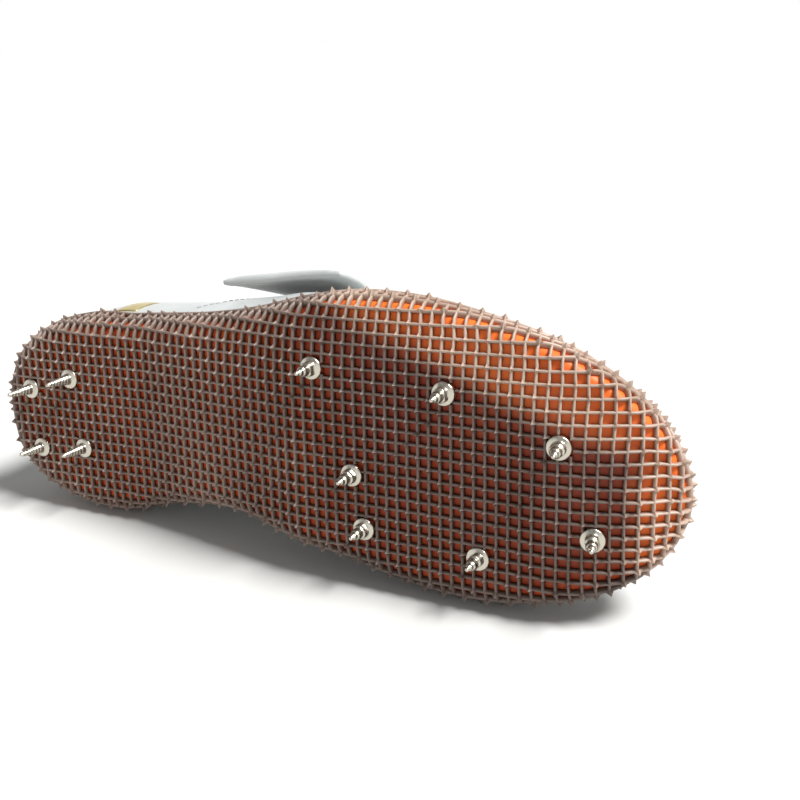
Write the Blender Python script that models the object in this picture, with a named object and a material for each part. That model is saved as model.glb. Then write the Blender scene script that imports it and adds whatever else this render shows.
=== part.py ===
"""A right track spike shoe, lying on its medial side with its sole to the front.

It is modelled standing: X from heel to toe, Y to the medial side, Z up. The last step lays
it on its medial side, so that the sole faces -Y.
"""
import math

import bmesh
import bpy
from mathutils import Matrix, Vector

# Driving sizes, in metres
LENGTH = 0.280      # length of the foam sole
BALL = 0.100        # width over the ball, rubber included
INSTEP = 0.100      # height of the instep
GAP = 0.0003        # clearance between two pieces
WALL = 0.002        # wall of the upper
CUP = 0.0017        # rubber of the outsole
NET = 0.0026        # ribs and teeth of the grip net
FOAM_DROP = 0.0038  # from the rib plane up to the foam's underside
CORNER = 0.0045     # round between tread and side
COVER = 0.0012      # thickness of the patches on the upper
SOCK = 0.0030       # thickness of the insole
SPIKE_OUT = 0.0102  # stepped forefoot spike above the rib plane
PIN_OUT = 0.0130    # slim heel pin above the rib plane
FLANGE_R = 0.0041   # radius of a spike's flange
HEEL_LIFT = 0.127   # heel above the forefoot plane, share of the instep
TOE_LIFT = 0.130    # toe spring, share of the instep
CAMBER = 0.0028     # lift of the tread towards its lateral and toe edge

X = LENGTH / 280    # tables count in 280ths of the length
Y = BALL / 100      # and in hundredths of the ball width
Z = INSTEP / 100    # and of the instep height

# Outline of the foam at its widest: lateral x, lateral y, medial x, medial y, spine x, spine y
PLAN = [
    (2.8, 2, 2.8, 2, 29, 2),
    (5.1, -8.5, 4, 14, 32, 2),
    (11.2, -18.6, 7.4, 23.6, 36, 2),
    (24.3, -27.6, 18.6, 33.4, 42, 2),
    (46, -32.8, 35, 39, 50, 2),
    (67, -33.5, 56.5, 40.4, 65, 2),
    (89, -36, 80, 34.2, 85, -1),
    (111, -38.5, 103, 30, 107, -5),
    (132, -42, 124, 29.6, 128, -7),
    (153, -47, 146, 34.2, 150, -8),
    (174, -50.3, 169, 37.4, 172, -8),
    (197, -49.5, 193, 42.6, 195, -6),
    (220, -45, 217, 44.8, 218, -2),
    (240.6, -39.1, 238.4, 42.4, 232, 0),
    (255.5, -31.7, 257.4, 37.6, 242, 1),
    (268.4, -21.8, 271.8, 29.4, 248, 2),
    (277.6, -10, 280.6, 17.6, 252, 3),
    (282.6, 4.5, 282.6, 4.5, 256, 3.5),
]
# Top line: x, lateral y, medial y, z, lean at the edge in degrees, lateral and medial bulge
TOP = [
    (10, 2, 2, 93, -4, 3.5, 3.5),
    (12, -10, 13, 92, -3, 3.5, 3.5),
    (18, -19, 21.5, 89, 0, 3.0, 3.0),
    (29, -28.5, 28, 82, 3, 6.5, 2.5),
    (45, -34, 33, 73, 6, 8.5, 2.5),
    (64, -35.5, 34.5, 68, 8, 9.5, 3.5),
    (84, -35.5, 33.5, 70, 12, 10, 6.0),
    (101, -33, 31, 78, 22, 10.5, 8.0),
    (116, -27, 26.5, 88, 36, 9.5, 8.0),
    (132, -20.5, 21.5, 87, 48, 7, 6.5),
    (151, -15.5, 18, 80.5, 56, 4.0, 5.0),
    (171, -11.5, 15, 72.5, 63, 3.0, 3.5),
    (189, -6.5, 11, 65.5, 74, 2.0, 2.0),
    (201, 2.5, 2.5, 61.5, 88, 1.5, 1.5),
    (211, 3, 3, 58.5, 90, 1.0, 1.0),
    (221, 3.5, 3.5, 55.5, 90, 0.5, 0.5),
    (230, 4, 4, 52.5, 90, 0.5, 0.5),
    (239, 4.5, 4.5, 50, 90, 0.5, 0.5),
]
# Heights over the rib plane: feather line (upper meets foam), rim of the rubber cup
EDGE = [
    (16, 12), (16, 12), (16, 12), (16, 12), (16, 12), (16, 11.5),
    (15.5, 10.5), (15, 10.5), (14, 11.5), (12.5, 14), (11.5, 15), (11, 15),
    (11, 15.5), (11, 17), (11, 19), (11.5, 20.5), (12, 21.5), (12, 22),
]
LAST_ROW = len(PLAN) - 1
RIDGE = 13          # from this station on, both sides meet on the ridge

# Spikes: x, y
SPIKES = {
    "spike_heel_1": (15.9, -5.2), "spike_heel_2": (37.6, -11.4),
    "spike_heel_3": (18.8, 19.9), "spike_heel_4": (42, 17.5),
    "spike_fore_1": (160.2, -29.1), "spike_fore_2": (209.7, -24.8),
    "spike_fore_3": (248.6, -11), "spike_fore_4": (259.6, 18.8),
    "spike_fore_5": (221.8, 30.6), "spike_fore_6": (174.8, 7.6),
    "spike_fore_7": (179.1, 26.8),
}

COLOURS = {
    "orange_rubber": ((0.72, 0.06, 0.012), 0.0, 0.5),
    "grey_rubber": ((0.24, 0.19, 0.17), 0.0, 0.6),
    "white_foam": ((0.78, 0.78, 0.78), 0.0, 0.6),
    "white_synthetic": ((0.86, 0.87, 0.87), 0.0, 0.45),
    "grey_lining": ((0.55, 0.56, 0.58), 0.0, 0.8),
    "grey_synthetic": ((0.45, 0.45, 0.43), 0.0, 0.5),
    "white_webbing": ((0.80, 0.80, 0.80), 0.0, 0.8),
    "steel_loop": ((0.35, 0.36, 0.38), 1.0, 0.3),
    "nickel_steel": ((0.70, 0.68, 0.66), 1.0, 0.22),
}


def spline(a, b, c, d, t):
    """One span of a curve through b and c."""
    return tuple(
        q + 0.5 * t * (r - p + t * (2 * p - 5 * q + 4 * r - s + t * (3 * (q - r) + s - p)))
        for p, q, r, s in zip(a, b, c, d))


def ring_row(table_of, k):
    """Row k of the closed ring of stations, lateral from heel to toe and back on the medial."""
    k %= 2 * LAST_ROW
    if k <= LAST_ROW:
        return table_of(k, -1)
    return table_of(2 * LAST_ROW - k, 1)


def ring(table_of, s):
    k = math.floor(s)
    rows = [ring_row(table_of, k + j) for j in (-1, 0, 1, 2)]
    return spline(*rows, s - k)


def side_row(k, side):
    plan, top, edge = PLAN[k], TOP[k], EDGE[k]
    px, py = (plan[0], plan[1]) if side < 0 else (plan[2], plan[3])
    ty, bulge = (top[1], top[5]) if side < 0 else (top[2], top[6])
    return (px, py, plan[4], plan[5], top[0], ty, top[3], top[4], bulge, edge[0], edge[1])


def tread(x):
    """Height of the rib plane over the forefoot plane at x, in metres."""
    lift = HEEL_LIFT * INSTEP
    x = x / X
    if x < 77:
        return lift
    if x < 153:
        return lift * (153 - x) / 76
    if x < 240:
        return 0.0
    return TOE_LIFT * INSTEP * ((x - 240) / 47) ** 1.8


def station(s):
    """All that belongs to station s of the ring, as a small dictionary of points."""
    px, py, sx, sy, tx, ty, tz, lean, bulge, feather, rim = ring(side_row, s)
    other = ring(side_row, -s)
    along = min(s % (2 * LAST_ROW), -s % (2 * LAST_ROW))
    if along >= RIDGE:
        tx, ty, tz = [(a + b) / 2 for a, b in zip((tx, ty, tz), other[4:7])]
    sx, sy = (sx + other[2]) / 2, (sy + other[3]) / 2
    base = tread(px * X)
    foot = Vector((px * X, py * Y, base + FOAM_DROP + CORNER))
    spine = Vector((sx * X, sy * Y, 0))
    top = Vector((tx * X, ty * Y, tz * Z))
    inward = Vector((spine.x - foot.x, spine.y - foot.y, 0)).normalized()
    turn = math.radians(lean)
    rise = inward * math.sin(turn) + Vector((0, 0, math.cos(turn)))
    reach = (top - foot).length
    p1 = foot + Vector((0, 0, 0.40 * (top.z - foot.z))) - inward * bulge * Y
    p2 = top - rise * 0.38 * reach
    return {"foot": foot, "spine": spine, "top": top, "inward": inward, "rise": rise,
            "bezier": (foot, p1, p2, top), "base": base,
            "feather": base + feather * Z, "rim": base + rim * Z}


def bezier(points, t):
    a, b, c, d = points
    u = 1 - t
    return a * u ** 3 + b * 3 * u * u * t + c * 3 * u * t * t + d * t ** 3


def camber(s, v):
    """How far the tread is lifted at v, on the lateral forefoot and the toe only."""
    s %= 2 * LAST_ROW
    up = max(0, min(1, (s - 6) / 3, (20.5 - s) / 3))
    return CAMBER * up * up * (3 - 2 * up) * max(0, 2 * v - 1) ** 2


def body(s, v):
    """The shoe's outer form: v 0 spine, 1 corner, 2 foot of the side, 3 top line."""
    at = station(s)
    if v <= 1:
        edge = at["foot"] + at["inward"] * CORNER
        p = at["spine"].lerp(Vector((edge.x, edge.y, 0)), v)
        return Vector((p.x, p.y, tread(p.x) + FOAM_DROP + camber(s, v)))
    if v <= 2:
        turn = (v - 1) * math.pi / 2
        p = at["foot"] + at["inward"] * CORNER * (1 - math.sin(turn))
        low = tread(p.x) + FOAM_DROP + camber(s, 1)
        high = at["foot"].z - low
        reach = (at["foot"] - at["spine"]).to_2d().length - CORNER
        slant = min(4 * camber(s, 1) * CORNER / reach, 0.6 * high)
        return Vector((p.x, p.y, low + (high - slant) * (1 - math.cos(turn))
                       + slant * math.sin(turn)))
    return bezier(at["bezier"], v - 2)


def normal(form, s, v, low=-1e9, high=1e9):
    e = 0.02
    v0, v1 = max(low, v - e), min(high, v + e)
    ds = form(s + e, (v0 + v1) / 2) - form(s - e, (v0 + v1) / 2)
    dv = form(s, v1) - form(s, v0)
    return ds.cross(dv).normalized()


def shell_point(s, v, depth):
    """A point of the body moved out by depth; the ends and the spine stay on their line."""
    s %= 2 * LAST_ROW
    if v <= 0.999:
        p = body(s, v)
        slope = (tread(p.x + 0.001) - tread(p.x - 0.001)) / 0.002
        return p + Vector((slope, 0, -1)).normalized() * depth
    low, high = (1.0, 3.0)
    n = normal(body, s, v, low, high)
    along = min(s, 2 * LAST_ROW - s)
    if v > 2.999 and along >= RIDGE:
        m = normal(body, 2 * LAST_ROW - s, v, low, high)
        n = (n + m).normalized()
    return body(s, v) + n * depth


def level(s, z):
    """v on the side where the height is z."""
    at = station(s)
    low, high = 0.0, 1.0
    for _ in range(24):
        mid = (low + high) / 2
        if bezier(at["bezier"], mid).z < z:
            low = mid
        else:
            high = mid
    return 2 + (low + high) / 2


def cross(s, c):
    """Section over the throat: c -2 lateral foot, -1 lateral edge, 1 medial edge, 2 medial foot."""
    if c <= -1:
        return bezier(station(s)["bezier"], c + 2)
    if c >= 1:
        return bezier(station(-s)["bezier"], 2 - c)
    lat, med = station(s), station(-s)
    span = (lat["top"] - med["top"]).length * 0.36
    arch = (lat["top"], lat["top"] + lat["rise"] * span,
            med["top"] + med["rise"] * span, med["top"])
    return bezier(arch, (c + 1) / 2)


def cross_point(s, c, depth):
    return cross(s, c) + normal(cross, s, c, -2, 2) * depth


MADE = []


def finish(name, bm, material, smooth=True):
    bmesh.ops.recalc_face_normals(bm, faces=bm.faces)
    if bm.calc_volume(signed=True) < 0:
        bmesh.ops.reverse_faces(bm, faces=bm.faces)
    mesh = bpy.data.meshes.new(name)
    bm.to_mesh(mesh)
    bm.free()
    for face in mesh.polygons:
        face.use_smooth = smooth
    obj = bpy.data.objects.new(name, mesh)
    mesh.materials.append(MATERIALS[material])
    HOME.objects.link(obj)
    MADE.append(obj)
    return obj


def solid(name, cells, outer, inner, material, smooth=True):
    """A closed skin from grid cells: outer and inner give a point for each grid corner."""
    bm = bmesh.new()
    known, ids, sides = {}, {}, []
    for cell in cells:
        for key in cell:
            if key in ids:
                continue
            p = outer(*key)
            spot = tuple(round(c * 1e6) for c in p)
            if spot not in known:
                known[spot] = len(sides)
                sides.append([p, inner(*key), 1])
            else:
                side = sides[known[spot]]
                side[1] = side[1] + inner(*key)
                side[2] += 1
            ids[key] = known[spot]
    out = [bm.verts.new(p) for p, _, _ in sides]
    inn = [bm.verts.new(q / n) for _, q, n in sides]
    edges = {}
    for cell in cells:
        loop = []
        for key in cell:
            if ids[key] not in loop:
                loop.append(ids[key])
        if len(loop) < 3:
            continue
        for tri in [(0, 1, 2), (0, 2, 3)][:len(loop) - 2]:
            bm.faces.new([out[loop[k]] for k in tri])
            bm.faces.new([inn[loop[k]] for k in reversed(tri)])
        for a, b in zip(loop, loop[1:] + loop[:1]):
            edges.setdefault((min(a, b), max(a, b)), []).append((a, b))
    for pair in edges.values():
        if len(pair) == 1:
            a, b = pair[0]
            bm.faces.new([out[b], out[a], inn[a], inn[b]])
    return finish(name, bm, material, smooth)


def grid(us, vs, closed=False, keep=None):
    """Quads between neighbouring values; closed joins the last u to the first."""
    pairs = list(zip(us, us[1:]))
    if closed:
        pairs.append((us[-1], us[0]))
    cells = []
    for a, b in pairs:
        for c, d in zip(vs, vs[1:]):
            if keep is None or keep(a, b, c, d):
                cells.append([(a, c), (b, c), (b, d), (a, d)])
    return cells


# Start clean
for old in list(bpy.data.objects):
    bpy.data.objects.remove(old)

HOME = bpy.data.collections.new("track_spike_shoe")
CUTTERS = bpy.data.collections.new("cutters")
bpy.context.scene.collection.children.link(HOME)
bpy.context.scene.collection.children.link(CUTTERS)
MATERIALS = {}
for name, (colour, metal, rough) in COLOURS.items():
    made = bpy.data.materials.new(name)
    made.use_nodes = True
    shader = made.node_tree.nodes["Principled BSDF"]
    shader.inputs["Base Color"].default_value = (*colour, 1)
    shader.inputs["Metallic"].default_value = metal
    shader.inputs["Roughness"].default_value = rough
    made.diffuse_color = (*colour, 1)
    MATERIALS[name] = made

# Columns of the ring, closer together round the heel and the toe
half = [0, 0.5, 1, 1.5, 2, 2.5, 3, 3.5, 4, 5, 6, 7, 8, 9, 10, 11, 12, 12.5,
        13, 13.5, 14, 14.5, 15, 15.5, 16, 16.5, 17]
AROUND = half + [2 * LAST_ROW - s for s in reversed(half[1:-1])]


def row_v(s, v):
    """Named rows of the sole's side as v: feather line, rim and what lies between."""
    if not isinstance(v, str):
        return v
    at = station(s)
    feather, rim = level(s, at["feather"]), level(s, at["rim"])
    low = 2 + (min(feather, rim) - 2) * 0.6
    return {"feather": feather, "rim": rim, "low": low, "high": (low + rim) / 2}[v]


def ring_layer(rows):
    """Outer or inner rows: each is (how high: a share, depth) read for its column."""
    def at(s, k):
        v, depth = rows[k]
        return shell_point(s, row_v(s, v), depth)
    return at


# Sole: outsole cup and grip net
flat = [0, 0.6, 1, 1.35, 1.7, 2, "low", "high", "rim"]
thin = [1.0] * 7 + [0.85, 0.5]      # both layers thin out towards the rim
outsole = solid("outsole", grid(AROUND, range(len(flat)), True),
                ring_layer([(v, GAP + CUP * k) for v, k in zip(flat, thin)]),
                ring_layer([(v, GAP) for v in flat]), "orange_rubber")
net = solid("grip_net", grid(AROUND, range(len(flat)), True),
            ring_layer([(v, 2 * GAP + (CUP + NET) * k) for v, k in zip(flat, thin)]),
            ring_layer([(v, 2 * GAP + CUP * k) for v, k in zip(flat, thin)]), "grey_rubber")


def spike_place(x, y):
    """Where a spike stands on the rib plane, and its direction out of the sole."""
    x, y = x * X, y * Y
    slope = (tread(x + 0.001) - tread(x - 0.001)) / 0.002
    return Vector((x, y, tread(x))), Vector((slope, 0, -1)).normalized()


def turned(name, profile, place, out, material, sides=12, smooth=True):
    """A turned piece: profile gives radius and height along out."""
    bm = bmesh.new()
    turn = Vector((0, 0, 1)).rotation_difference(out).to_matrix()
    rings = []
    for r, h in profile:
        rings.append([
            bm.verts.new(place + turn @ Vector((r * math.cos(a), r * math.sin(a), h)))
            for a in [2 * math.pi * k / sides for k in range(sides)]])
    for low, high in zip(rings, rings[1:]):
        for k in range(sides):
            bm.faces.new([low[k], low[(k + 1) % sides], high[(k + 1) % sides], high[k]])
    bm.faces.new(rings[0])
    bm.faces.new(list(reversed(rings[-1])))
    return finish(name, bm, material, smooth)


# Spikes stand on the outsole in holes of the net
seat = -0.0015
cut = bmesh.new()
flange = [(FLANGE_R - 0.0006, seat), (FLANGE_R, seat + 0.0006), (FLANGE_R, 0.0006),
          (FLANGE_R - 0.0004, 0.0010)]
stepped = flange + [(0.0027, 0.0012), (0.0025, 0.0040), (0.0019, 0.0044), (0.0016, 0.0070),
                    (0.0011, 0.0074), (0.0008, SPIKE_OUT - 0.0003), (0.0005, SPIKE_OUT)]
slim = flange + [(0.0023, 0.0012), (0.0021, 0.0020), (0.0008, PIN_OUT - 0.0003),
                 (0.0005, PIN_OUT)]
for name, (x, y) in SPIKES.items():
    place, out = spike_place(x, y)
    turned(name, slim if "heel" in name else stepped, place, out, "nickel_steel")
    turn = Vector((0, 0, 1)).rotation_difference(out).to_matrix().to_4x4()
    bmesh.ops.create_cone(cut, cap_ends=True, segments=16, radius1=FLANGE_R + 0.0006,
                          radius2=FLANGE_R + 0.0006, depth=0.012,
                          matrix=Matrix.Translation(place) @ turn)
mesh = bpy.data.meshes.new("spike_holes")
cut.to_mesh(mesh)
cut.free()
cutter = bpy.data.objects.new("spike_holes", mesh)
CUTTERS.objects.link(cutter)
cutter.hide_render = True
cutter.display_type = "WIRE"
hole = net.modifiers.new("spike_holes", "BOOLEAN")
hole.operation = "DIFFERENCE"
hole.solver = "EXACT"
hole.object = cutter

# Foam: underside and sides on the body, top flat at the feather line
foam_rows = [0, 0.6, 1, 1.35, 1.7, 2, "low", "feather"]


def foam_outer(s, k):
    return shell_point(s, row_v(s, foam_rows[k]), 0)


def bed(s, share, lift, inset):
    """A point of the foot bed: share 0 at the spine, 1 at the side, lifted and inset."""
    at = station(s)
    z = at["feather"] + lift
    edge = shell_point(s, level(s, z), -inset)
    p = at["spine"].lerp(Vector((edge.x, edge.y, 0)), share)
    return Vector((p.x, p.y, tread(p.x) + (at["feather"] - at["base"]) + lift))


foam = bmesh.new()
spots = {}


def spot(p):
    key = tuple(round(c * 1e6) for c in p)
    if key not in spots:
        spots[key] = foam.verts.new(p)
    return spots[key]


def skin(bm_spot, bm, cells, at):
    for cell in cells:
        loop = []
        for key in cell:
            vert = bm_spot(at(*key))
            if vert not in loop:
                loop.append(vert)
        for tri in [(0, 1, 2), (0, 2, 3)][:max(0, len(loop) - 2)]:
            bm.faces.new([loop[k] for k in tri])


skin(spot, foam, grid(AROUND, range(len(foam_rows)), True), foam_outer)
BED = [0, 0.5, 1]


def foam_top(s, share):
    if share == 1:
        return foam_outer(s, len(foam_rows) - 1)
    return bed(s, share, 0, 0)


skin(spot, foam, grid(AROUND, BED, True), foam_top)
finish("midsole", foam, "white_foam")

# Insole
solid("insole", grid(AROUND, BED, True),
      lambda s, k: bed(s, k, 3 * GAP + SOCK, WALL + 2 * GAP),
      lambda s, k: bed(s, k, 3 * GAP, WALL + 2 * GAP), "grey_lining", False)

# Upper: one hollow shell from the feather line to the collar, throat and ridge
rise = [0, 0.10, 0.22, 0.36, 0.5, 0.64, 0.78, 0.9, 1]


def upper_v(s, k):
    low = level(s, station(s)["feather"] + GAP)
    return low + (3 - low) * rise[k]


solid("upper", grid(AROUND, range(len(rise)), True),
      lambda s, k: shell_point(s, upper_v(s, k), 0),
      lambda s, k: shell_point(s, upper_v(s, k), -WALL), "white_synthetic")

# Tongue: under the throat, then free behind it
TONGUE_T = 0.0025
TONGUE_ROWS = [12.5, 12, 11, 10, 9, 8]
FREE = [0.010, 0.020, 0.028]
across = [-1.2, -1.1, -1.0, -0.6, 0, 0.6, 1.0, 1.1, 1.2]


def tongue_at(k, c, depth):
    if k < len(TONGUE_ROWS):
        narrow = max(0.78, min(1.0, 0.78 + (TONGUE_ROWS[k] - 8) * 0.11))
        return cross_point(TONGUE_ROWS[k], c * narrow, depth)
    far = FREE[k - len(TONGUE_ROWS)]
    a = cross_point(8.0, c * 0.78, depth)
    return a + Vector((-0.66, 0, 0.75)) * far + Vector((0, -a.y * far * 2.5, 0))


solid("tongue", grid(range(len(TONGUE_ROWS) + len(FREE)), across),
      lambda k, c: tongue_at(k, c, -WALL - 3 * GAP),
      lambda k, c: tongue_at(k, c, -WALL - 3 * GAP - TONGUE_T), "white_synthetic")

# Collar pad: inside the collar, rolled a little over it
PAD_S = [-7, -6, -5] + [k / 2 for k in range(-8, 9)] + [5, 6, 7]
PAD = [(0.60, 0, 0.0012), (0.74, 0, 0.0042), (0.88, 0, 0.0062), (1.0, 0, 0.0070),
       (1.0, 0.0025, 0.0062), (1.0, 0.0042, 0.0036)]


def pad_at(s, k, inner):
    t, more, thick = PAD[k]
    end = max(0.35, min(1, (7 - abs(s)) * 0.9 + 0.35))
    depth = WALL + GAP + (thick * end if inner else (0.0012 if more > 0.004 else 0))
    return shell_point(s, 2 + t, -depth) + station(s)["rise"] * more


solid("collar_pad", grid(PAD_S, range(len(PAD))),
      lambda s, k: pad_at(s, k, False), lambda s, k: pad_at(s, k, True), "grey_lining")

# Patches on the upper share its columns and rows
def patch(name, columns, rows, material):
    cells = []
    for span in columns:
        cells += grid(span, rows)
    solid(name, cells,
          lambda s, k: shell_point(s, upper_v(s, k), GAP + COVER),
          lambda s, k: shell_point(s, upper_v(s, k), GAP), material)


patch("heel_tab", [[k / 2 for k in range(-5, 6)]], [2, 3, 4, 5, 6, 7], "grey_synthetic")
STAY_S = [7, 8, 9, 10, 11, 12, 12.5, 13, 13.5]
patch("eyestay", [STAY_S, [-s for s in reversed(STAY_S)]], [6, 7, 8], "white_synthetic")

# Laces: six bars, joined at their ends in turn, over the eyestay
LACE = 0.0012
BARS = 6
BAR_W = 0.155
bar_at = [10.0 + 0.5 * k for k in range(BARS)]
lace_s = sorted([b - BAR_W for b in bar_at] + [b + BAR_W for b in bar_at])
lace_c = [-1.14, -1.05, -0.6, 0, 0.6, 1.05, 1.14]


def lace_keep(a, b, c, d):
    if b - a < 2 * BAR_W + 0.01 and any(abs((a + b) / 2 - m) < 0.02 for m in bar_at):
        return True
    gap = round(((a + b) / 2 - bar_at[0]) / 0.5 - 0.5)
    return d <= -1.05 + 1e-6 if gap % 2 else c >= 1.05 - 1e-6


solid("laces", grid(lace_s, lace_c, keep=lace_keep),
      lambda s, c: cross_point(s, c, 4 * GAP + COVER + LACE),
      lambda s, c: cross_point(s, c, 4 * GAP + COVER), "white_webbing")

# Strap: from the loop on the medial side over the instep to the flap on the lateral side
# c across the shoe, middle station, half width in stations, height of its underside, thickness
STRAP = [
    (1.46, 7.75, 0.42, 3.6, 2.2),
    (1.36, 7.80, 0.46, 3.8, 2.2),
    (1.2, 7.95, 0.50, 4.2, 2.2),
    (1.0, 8.4, 0.50, 4.6, 2.2),
    (0.6, 8.85, 0.55, 4.2, 2.2),
    (0.0, 9.0, 0.60, 4.0, 2.2),
    (-0.6, 8.85, 0.66, 4.2, 2.2),
    (-1.0, 8.5, 0.85, 4.6, 2.6),
    (-1.2, 8.1, 1.25, 4.2, 3.2),
    (-1.42, 7.9, 1.50, 5.0, 4.0),
    (-1.60, 7.75, 1.30, 5.4, 4.0),
]


def strap_at(k, u, top):
    c, mid, wide, low, thick = STRAP[k]
    height = (low + (thick if top else 0)) * 0.001
    return cross_point(mid + u * wide, c, height)


solid("strap", grid(range(len(STRAP)), [-1, -0.5, 0, 0.5, 1]),
      lambda k, u: strap_at(k, u, True), lambda k, u: strap_at(k, u, False),
      "white_synthetic")

# Loop: a flat metal ring under the strap's medial end
loop_s = [7.18, 7.32, 7.75, 8.18, 8.32]
loop_c = [1.34, 1.37, 1.45, 1.48]


def loop_keep(a, b, c, d):
    return not (a >= 7.32 - 1e-6 and b <= 8.18 + 1e-6 and c >= 1.37 - 1e-6 and d <= 1.45 + 1e-6)


solid("strap_loop", grid(loop_s, loop_c, keep=loop_keep),
      lambda s, c: cross_point(s, c, 0.0029), lambda s, c: cross_point(s, c, 0.0005),
      "steel_loop", False)

# Lay the shoe down: the facet of its hull nearest the medial side that carries its weight
DENSITY = {"orange_rubber": 1150, "grey_rubber": 1150, "white_foam": 220,
           "white_synthetic": 750, "grey_lining": 300, "grey_synthetic": 900,
           "white_webbing": 600, "steel_loop": 7800, "nickel_steel": 7800}
every, weight, centre = [], 0.0, Vector((0, 0, 0))
for obj in MADE:
    every += [v.co.copy() for v in obj.data.vertices]
    bm = bmesh.new()
    bm.from_mesh(obj.data)
    bmesh.ops.triangulate(bm, faces=bm.faces)
    mass = DENSITY[obj.data.materials[0].name] * bm.calc_volume()
    middle, total = Vector((0, 0, 0)), 0.0
    for face in bm.faces:
        a, b, c = [v.co for v in face.verts]
        part = a.dot(b.cross(c)) / 6
        middle += (a + b + c) / 4 * part
        total += part
    centre += middle / total * mass
    weight += mass
    bm.free()
centre /= weight
hull = bmesh.new()
for p in every:
    hull.verts.new(p)
bmesh.ops.convex_hull(hull, input=hull.verts)
hull.normal_update()
best = None
for face in hull.faces:
    n = face.normal
    if n.y < 0.7:
        continue
    turn = n.rotation_difference(Vector((0, 0, -1))).to_matrix()
    flat_pts = [(turn @ v.co) for v in face.verts]
    c = turn @ centre
    inside = []
    for a, b in zip(flat_pts, flat_pts[1:] + flat_pts[:1]):
        side = (b.x - a.x) * (c.y - a.y) - (b.y - a.y) * (c.x - a.x)
        inside.append(side / math.hypot(b.x - a.x, b.y - a.y))
    room = min(abs(k) for k in inside) if min(inside) > 0 or max(inside) < 0 else -1
    if room > 0 and (best is None or n.y > best[0]):
        best = (n.y, n.copy(), room, [v.co.copy() for v in face.verts])
hull.free()
down = best[1]
x_axis = (Vector((1, 0, 0)) - down * down.x).normalized()
y_axis = (-down).cross(x_axis)
lay = Matrix((x_axis, y_axis, -down))
laid = [lay @ p for p in every]
low = [min(p[k] for p in laid) for k in range(3)]
high = [max(p[k] for p in laid) for k in range(3)]
move = Vector((-(low[0] + high[0]) / 2, -(low[1] + high[1]) / 2, -low[2]))
place = Matrix.Translation(move) @ lay.to_4x4()
for obj in MADE + [cutter]:
    obj.data.transform(place)

print("weight kg", round(weight, 4), "room to the edge of the stand, mm", round(best[2] * 1000, 1))
print("down", [round(k, 5) for k in down], "stand", [[round(k * 1000, 1) for k in p] for p in best[3]])
print("move", [round(k, 6) for k in move])
print("size mm", [round((b - a) * 1000, 1) for a, b in zip(low, high)])
print("triangles", sum(len(p.vertices) - 2 for o in MADE for p in o.data.polygons))
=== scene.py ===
# %% [markdown]
# A right track spike shoe lies on its medial side and shows its sole to the camera.
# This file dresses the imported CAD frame: fine rubber, cloth, metal, light and a camera.
# Every piece is made in the frame's own metres, so it lands where the CAD has it.

# %% Load the frame
import math

import bmesh
import bpy
import numpy as np
from mathutils import Matrix, Vector
from mathutils.bvhtree import BVHTree
from mathutils.kdtree import KDTree


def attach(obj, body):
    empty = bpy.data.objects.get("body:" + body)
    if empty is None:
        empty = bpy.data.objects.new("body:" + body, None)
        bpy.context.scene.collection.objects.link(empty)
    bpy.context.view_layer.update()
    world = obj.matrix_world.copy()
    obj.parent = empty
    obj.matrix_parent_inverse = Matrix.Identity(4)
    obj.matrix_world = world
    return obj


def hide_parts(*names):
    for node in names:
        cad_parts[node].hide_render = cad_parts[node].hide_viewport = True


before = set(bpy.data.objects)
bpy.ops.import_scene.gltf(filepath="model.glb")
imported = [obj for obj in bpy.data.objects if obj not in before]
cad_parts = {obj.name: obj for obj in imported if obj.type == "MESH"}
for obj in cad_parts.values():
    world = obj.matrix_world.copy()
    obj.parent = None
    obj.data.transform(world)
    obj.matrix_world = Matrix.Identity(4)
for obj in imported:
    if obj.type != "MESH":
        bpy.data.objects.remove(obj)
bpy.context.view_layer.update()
print("nodes", len(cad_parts))

# %% [markdown]
# Sizes first. A shoe is drawn round a last, so the last's stations come as short tables, in
# millimetres of a shoe that stands upright: x to the toe, y to the medial side, z up.

# %% Sizes and tables of the last
MM = 0.001
GAP, WALL, CUP = 0.3, 2.0, 1.7  # between pieces, the upper's wall, the outsole's
# the foam over the ribs' plane, the radius of its corner, a patch, the insole
FOAM_DROP, CORNER, COVER, SOCK = 3.8, 4.5, 1.2, 3.0
FLANGE_R = 4.1
HEEL_LIFT, TOE_LIFT, CAMBER = 12.7, 13.0, 2.8
CAMBER_FROM, CAMBER_TO, CAMBER_RAMP = 6, 20.5, 3  # stations

# lateral x, y, medial x, y, spine x, y
PLAN = [
    (2.8, 2, 2.8, 2, 29, 2),
    (5.1, -8.5, 4, 14, 32, 2),
    (11.2, -18.6, 7.4, 23.6, 36, 2),
    (24.3, -27.6, 18.6, 33.4, 42, 2),
    (46, -32.8, 35, 39, 50, 2),
    (67, -33.5, 56.5, 40.4, 65, 2),
    (89, -36, 80, 34.2, 85, -1),
    (111, -38.5, 103, 30, 107, -5),
    (132, -42, 124, 29.6, 128, -7),
    (153, -47, 146, 34.2, 150, -8),
    (174, -50.3, 169, 37.4, 172, -8),
    (197, -49.5, 193, 42.6, 195, -6),
    (220, -45, 217, 44.8, 218, -2),
    (240.6, -39.1, 238.4, 42.4, 232, 0),
    (255.5, -31.7, 257.4, 37.6, 242, 1),
    (268.4, -21.8, 271.8, 29.4, 248, 2),
    (277.6, -10, 280.6, 17.6, 252, 3),
    (282.6, 4.5, 282.6, 4.5, 256, 3.5),
]
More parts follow.
